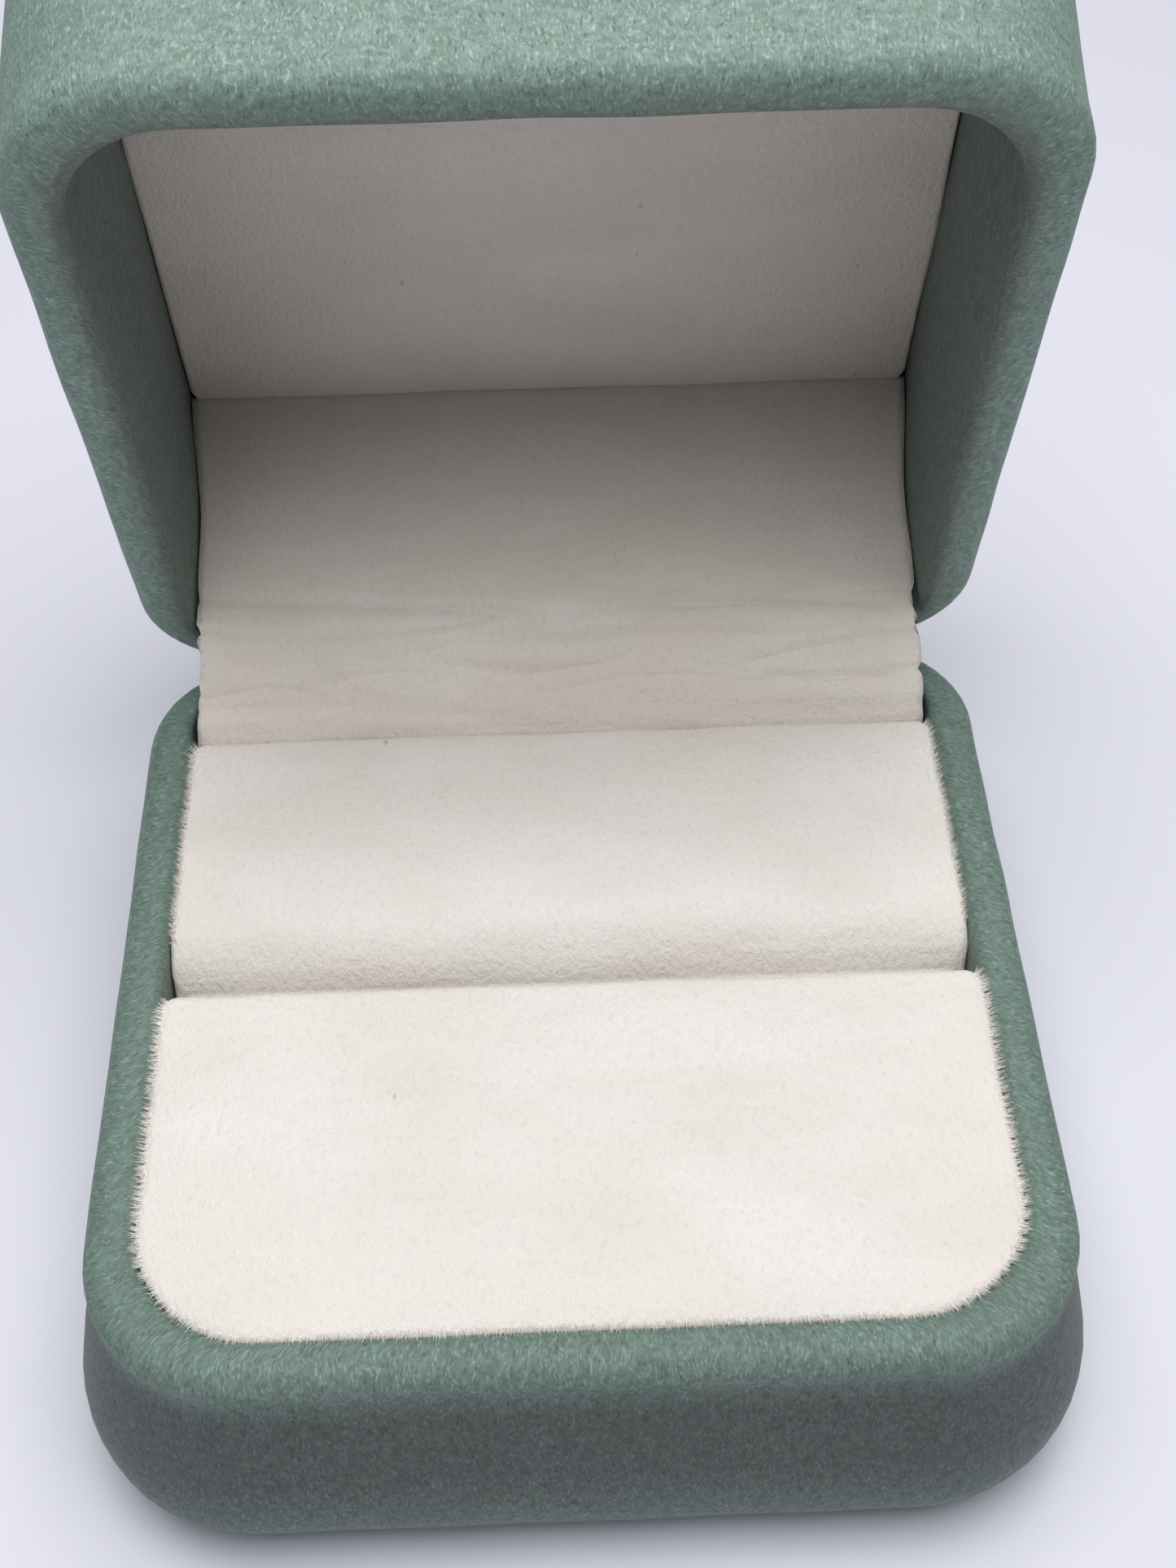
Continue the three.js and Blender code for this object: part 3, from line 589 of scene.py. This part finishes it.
lid_side = side_profile(LID_BELLY, LID_FLARE, LID_HEIGHT)
lid_mouth = mouth_profile(LID_WALL, PANEL_DEPTH + WRAP_PAST_PANEL, LID_WIDENING)
lid_outer = [(grow, LID_RIM_Z - z, inside) for grow, z, inside in lid_side + lid_mouth]
lid_top = LID_RIM_Z + LID_HEIGHT
crown_edge = LID_FLARE - EDGE_RADIUS
crown = [(x, lid_top, 0) for x in np.linspace(CROWN_START, crown_edge, CROWN_STEPS + 1)[:-1]]
lid_outer = crown + lid_outer
lid_inner = inset_profile(lid_outer, -WRAP)[::-1]
lid_rings = [box_ring(p, LID_BACK_SHIFT) for p in lid_outer + lid_inner]
lid_wrap = lofted("lid_leatherette", lid_rings, LEATHERETTE_LID_PAINTED_LIGHTER, place=opened)
store_nap(lid_wrap, lid_rings, len(crown))
# Painted shade: darker deeper in the lid's mouth.
lid_painted_shades = [float(np.interp(inside, LID_PAINTED_SHADE_INSIDES, LID_PAINTED_SHADES)) for _, _, inside in lid_outer]
store_painted_shade(lid_wrap, lid_rings, lid_painted_shades + lid_painted_shades[::-1])
roughen(lid_wrap, ROUGHNESS_HEIGHT, ROUGHNESS_SIZE, seed=7.7)
carved(lid_wrap, *HINGE_RELIEF, turned=opened)
finish_piece(lid_wrap, "lid", "leatherette", "lid_wrap")


# ---- Velvet pads ----
def pad_outline(inset, z, pad):
    """A pad's outline at height z, drawn in by inset."""
    return ring(
        half_width=pad["half_width"] - inset, front=pad["front"](z) + inset, back=pad["back"](z) - inset,
        front_radius=pad["front_radius"] - inset, back_radius=pad["back_radius"] - inset, z=z,
    )


def to_middle(last, shares):
    """Copies of a ring drawn in towards its middle."""
    middle = last.mean(axis=0)
    return [middle + (last - middle) * share for share in shares]


def velvet_cover(name, outline, round_edge, top, skirt_z, direction, material, place=None):
    """A velvet cover that is open at its back: outline(inset, z) gives its rings, and direction is
    1 if its face looks up and -1 if it looks down."""
    shoulder = arc(-round_edge, top - direction * round_edge, round_edge, 0, direction * 90, SHOULDER_STEPS)
    levels = np.linspace(skirt_z, top - direction * round_edge, SKIRT_STEPS + 1)[:-1]
    outer = [outline(0, z) for z in levels] + [outline(-x, z) for x, z in shoulder]
    outer += to_middle(outer[-1], np.linspace(1, LAST_SHARE, FACE_STEPS + 1)[1:])
    under_z = top - direction * VELVET
    under_side = outline(VELVET, under_z - direction * 1.0)
    under_top = outline(VELVET + 1.0, under_z)
    under = to_middle(under_top, np.linspace(LAST_SHARE, 1, UNDER_STEPS))
    under += [under_side, outline(VELVET, skirt_z)]
    return lofted(name, under + outer, material, place=place)


def sloped_into_slot(piece, front, top, radius):
    """Rounds off a pad's top front edge to a wide radius, where the velvet turns down into the slot. The
    face just under that edge ends up as a narrow ledge, radius below the top."""
    for vertex in piece.data.vertices:
        y, z = vertex.co.y / MM - front, vertex.co.z / MM
        if y < radius and z > top - radius:
            fall = radius - math.sqrt(radius ** 2 - (radius - max(y, 0.0)) ** 2)
            share = (z - top + radius) / radius
            vertex.co.z -= fall * share * MM


def crowned(piece, half_width, span, above, rise):
    """Raises the middle of a pad's face, which lies above that height and along span in Y, by rise."""
    middle_y, half_depth = sum(span) / 2, (span[1] - span[0]) / 2
    for vertex in piece.data.vertices:
        x = vertex.co.x / MM / half_width
        y = (vertex.co.y / MM - middle_y) / half_depth
        height = max(0.0, 1 - x ** 4) * max(0.0, 1 - y ** 4)
        if vertex.co.z / MM > above:
            vertex.co.z += rise * height * MM


def pile(name, cover, region, seed, material):
    """Cut fibres on the faces of cover that region chooses, each leaning out over the lip as a closed
    three-sided spike. None rises above FIBRE_CEILING, so the lid shuts over them."""
    rng = np.random.default_rng(seed)
    mesh = cover.data
    middle = np.array([p.center for p in mesh.polygons]) / MM
    area = np.array([p.area for p in mesh.polygons]) / MM ** 2
    normal = np.array([p.normal for p in mesh.polygons])
    chosen = np.flatnonzero(region(middle, normal))
    total = int(area[chosen].sum() * FIBRES_PER_MM2)
    picks = rng.choice(chosen, total, p=area[chosen] / area[chosen].sum())
    spots = []
    for pick in picks:
        corners = np.array([mesh.vertices[v].co for v in mesh.polygons[pick].vertices]) / MM
        weights = rng.dirichlet(np.ones(len(corners)))
        spots.append(weights @ corners)
    roots = np.array(spots) - normal[picks] * FIBRE_DEPTH
    outward = normal[picks] * (1, 1, 0)
    outward /= np.linalg.norm(outward, axis=1)[:, None]
    way = outward * FIBRE_REACH + rng.normal(0, FIBRE_LEAN, (total, 3))
    way[:, 2] += FIBRE_CEILING - roots[:, 2]
    way /= np.linalg.norm(way, axis=1)[:, None]
    tips = roots + way * rng.uniform(0.5, 1.0, (total, 1)) * FIBRE_LENGTH
    tips[:, 2] = np.minimum(tips[:, 2], FIBRE_CEILING)
    side = np.cross(way, rng.normal(size=(total, 3)))
    side /= np.linalg.norm(side, axis=1)[:, None]
    other = np.cross(way, side)
    thirds = (0, 2.094, 4.189)
    base = [roots + FIBRE_RADIUS * (math.cos(a) * side + math.sin(a) * other) for a in thirds]
    verts = np.stack([*base, tips], axis=1).reshape(-1, 3)
    faces = []
    for i in range(0, 4 * total, 4):
        faces += [(i, i + 2, i + 1), (i, i + 1, i + 3), (i + 1, i + 2, i + 3), (i + 2, i, i + 3)]
    made = surface(name, verts, faces, material)
    made.data.shade_flat()
    return made


mouth = box_outline(-BASE_WALL - PAD_CLEARANCE, 1)


def slot_back(z):
    """The rear pad leans back from the slot, which is narrow at its foot."""
    widths = [SLOT_FRONT + SLOT_FOOT_WIDTH, SLOT_FRONT + SLOT_TOP_WIDTH]
    return np.interp(z, [SLOT_FOOT_Z, REAR_PAD_TOP], widths)


def bulging_front(z):
    """The front pad swells over the lip, following its round mouth."""
    return mouth["front"] - PAD_FRONT_BULGE * float(np.interp(z, BULGE_HEIGHTS, [0, 1]))


front_pad = {
    "half_width": mouth["half_width"], "front": bulging_front, "back": lambda z: SLOT_FRONT,
    "front_radius": mouth["front_radius"], "back_radius": PAD_CORNER,
}
rear_pad = {
    "half_width": mouth["half_width"], "front": slot_back, "back": lambda z: REAR_PAD_BACK,
    "front_radius": PAD_CORNER, "back_radius": PAD_CORNER,
}


def make_pad(name, node_name, pad, top, span, is_front):
    """A pad's velvet cover from span's first y to its last, and the pile along its outer edge."""
    low_y, high_y = span

    def on_outer_edge(middle, normal):
        upper = middle[:, 2] > top - PAD_ROUND
        rounded = (normal[:, 2] > FRINGE_STEEPEST) & (normal[:, 2] < FRINGE_FLATTEST)
        to_side = np.abs(normal[:, 0]) > np.abs(normal[:, 1])
        to_front = is_front & (normal[:, 1] < 0)
        return upper & rounded & (to_side | to_front)

    cover = velvet_cover(
        name, lambda inset, z: pad_outline(inset, z, pad), PAD_ROUND, top, PAD_SKIRT_Z, 1, PAD_VELVET,
    )
    crowned(cover, PAD_RISE_HALF_WIDTH, span, top - PAD_RISE_BELOW_TOP, PAD_RISE)
    if not is_front:
        sloped_into_slot(cover, low_y, top, REAR_PAD_SLOPE)
    roughen(cover, amount=0.12, size=5.0, seed=1.3)
    finish_piece(cover, "base", "ivory_velvet", node_name)
    fringe = pile(f"{name}_pile", cover, on_outer_edge, PILE_SEED, PILE_VELVET)
    finish_piece(fringe, "base", "ivory_velvet")


front_span = (mouth["front"], SLOT_FRONT)
rear_span = (SLOT_FRONT + SLOT_TOP_WIDTH, REAR_PAD_BACK)
make_pad("front_pad", "front_velvet", front_pad, FRONT_PAD_TOP, front_span, is_front=True)
make_pad("rear_pad", "rear_velvet", rear_pad, REAR_PAD_TOP, rear_span, is_front=False)

# ---- Lid panel ----
panel_z = LID_RIM_Z + PANEL_DEPTH
panel_shape = {
    "half_width": PANEL_HALF_WIDTH, "front": lambda z: PANEL_FRONT, "back": lambda z: PANEL_BACK,
    "front_radius": PANEL_FRONT_CORNER, "back_radius": PANEL_BACK_CORNER,
}
panel = velvet_cover(
    "lid_panel", lambda inset, z: pad_outline(inset, z, panel_shape), PANEL_ROUND, panel_z,
    panel_z + PANEL_SKIRT, -1, PANEL_VELVET, place=opened,
)
roughen(panel, amount=0.15, size=9.0, seed=5.2)
finish_piece(panel, "lid", "ivory_velvet", "lid_panel_velvet")

# ---- Lining over the hinge ----
def creased_across(piece, low_y, high_y):
    """Shallow wandering creases that run along the hinge, strongest midway between low_y and high_y."""
    mesh = piece.data
    normals = [v.normal.copy() for v in mesh.vertices]
    for vertex, normal in zip(mesh.vertices, normals):
        share = (vertex.co.y / MM - low_y) / (high_y - low_y)
        if 0 < share < 1:
            place = Vector((vertex.co.x / MM / 15, vertex.co.y / MM / 2.2, vertex.co.z / MM / 2.2))
            fold = abs(noise.noise(place + Vector((4.2, 0, 1.7))))
            sharpness = max(0.0, 0.35 - fold) / 0.35
            vertex.co -= normal * (CREASE_DEPTH * math.sin(math.pi * share) * sharpness * MM)


TUCK_Y = REAR_PAD_BACK + 0.25 + LINING / 2
lining_y = LINING_FACE + LINING / 2


def opened_point(y, z):
    """Where a point of the shut lid, given as y and z, lies with the lid open."""
    return tuple(opened([(0.0, y, z)])[0][1:])


# Along the middle of the lining's thickness, as (y, z, half its width there).
LINING_POINTS = [
    (TUCK_Y, 13.0, 26.3), (TUCK_Y, 16.0, 26.3), (TUCK_Y, 18.6, 26.4), (TUCK_Y + 0.05, 19.6, 26.5),
    (TUCK_Y + 0.75, 20.9, 26.5), (24.4, 22.9, 26.45), (26.5, 24.9, 26.35),
    (*opened_point(lining_y - 0.05, LID_RIM_Z + 1.6), 26.3),
    (*opened_point(lining_y, LID_RIM_Z + 4.0), 26.35),
    (*opened_point(lining_y, LID_RIM_Z + 10.0), 26.4),
    (*opened_point(lining_y, LID_RIM_Z + 14.0), 26.8),
    (*opened_point(lining_y, LID_RIM_Z + 17.5), 27.2),
    (*opened_point(lining_y, LID_RIM_Z + PANEL_DEPTH + 0.1), 27.55),
]
line = [np.array(p) for p in curve_through(LINING_POINTS, 0.35)]
rings = []
for i, (y, z, half_width) in enumerate(line):
    before, after = line[max(i - 1, 0)], line[min(i + 1, len(line) - 1)]
    along = (after - before)[:2] / np.linalg.norm((after - before)[:2])
    up = np.array([-along[1], along[0]]) * LINING / 2
    across = np.linspace(-half_width, half_width, LINING_ACROSS)
    face = [(x, y + up[0], z + up[1]) for x in across]
    back = [(x, y - up[0], z - up[1]) for x in across[::-1]]
    rings.append(np.array(face + back))
lining = lofted("hinge_lining_velvet", rings, LINING_VELVET)
roughen(lining, amount=0.1, size=4.0, seed=9.4)
creased_across(lining, *CREASE_SPAN)
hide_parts("hinge_lining")
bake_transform(lining)

# ---- Materials on the CAD nodes that stay ----
CARRIED_OVER = {
    "base_shell": MOULDING, "lid_shell": MOULDING, "bottom_cover": FELT_PAPER, "bottom_card": GREY_BOARD,
    "insert_card": GREY_BOARD, "lid_panel_card": GREY_BOARD, "lid_back_card": GREY_BOARD,
    "front_foam": SPONGE, "rear_foam": SPONGE, "lid_panel_wadding": SPONGE,
    "hinge_leaf_base": STEEL, "hinge_leaf_lid": STEEL, "hinge_pin": STEEL,
    "base_rivet_left": STEEL, "base_rivet_right": STEEL, "lid_rivet_left": STEEL, "lid_rivet_right": STEEL,
    "snap_spring_left": STEEL, "snap_spring_right": STEEL,
}
for node_name, material in CARRIED_OVER.items():
    for slot in frame["nodes"][node_name].material_slots:
        slot.material = material

# ---- Floor, light and camera ----
# In metres, as Blender has them.
floor_material, floor_shader = new_material("floor", Roughness=0.8, Specular_IOR_Level=0.2)
floor_shader.inputs["Base Color"].default_value = (0.80, 0.80, 0.88, 1)
bpy.ops.mesh.primitive_plane_add(size=6)
floor = bpy.context.object
floor.name = "floor"
floor.data.materials.append(floor_material)

world = bpy.data.worlds.new("studio")
world.use_nodes = True
background = world.node_tree.nodes["Background"]
background.inputs["Color"].default_value = (0.86, 0.89, 1.0, 1)
background.inputs["Strength"].default_value = 0.17
scene.world = world
scene.view_settings.view_transform = "Standard"


def area_light(name, place, target, size, power):
    """A white soft light of that size in metres, turned towards target."""
    data = bpy.data.lights.new(name, "AREA")
    data.shape = "RECTANGLE"
    data.size, data.size_y = size
    data.energy = power
    made = bpy.data.objects.new(name, data)
    scene.collection.objects.link(made)
    made.location = place
    made.rotation_euler = (Vector(target) - Vector(place)).to_track_quat("-Z", "Y").to_euler()


area_light("overhead", place=(0.012, -0.05, 0.42), target=(0, -0.01, 0.02), size=(0.34, 0.32), power=1.72)
area_light("behind", place=(0.0, 0.30, 0.34), target=(0, 0.16, 0), size=(0.40, 0.16), power=0.32)

CAMERA_PLACE = Vector((-0.990, -84.148, 133.742)) * MM
CAMERA_AZIMUTH = math.radians(1.544)
CAMERA_DIP = math.radians(48.546)
CAMERA_ROLL = math.radians(0.825)
forward = Vector((
    math.sin(CAMERA_AZIMUTH) * math.cos(CAMERA_DIP), math.cos(CAMERA_AZIMUTH) * math.cos(CAMERA_DIP),
    -math.sin(CAMERA_DIP),
))
level = forward.cross(Vector((0, 0, 1))).normalized()
down = forward.cross(level)
right = math.cos(CAMERA_ROLL) * level + math.sin(CAMERA_ROLL) * down
below = -math.sin(CAMERA_ROLL) * level + math.cos(CAMERA_ROLL) * down
camera_data = bpy.data.cameras.new("camera")
camera_data.lens = 48.77
camera_data.clip_start = 0.01
camera = bpy.data.objects.new("camera", camera_data)
scene.collection.objects.link(camera)
turn = Matrix((right, -below, -forward)).transposed().to_4x4()
camera.matrix_world = Matrix.Translation(CAMERA_PLACE) @ turn
scene.camera = camera
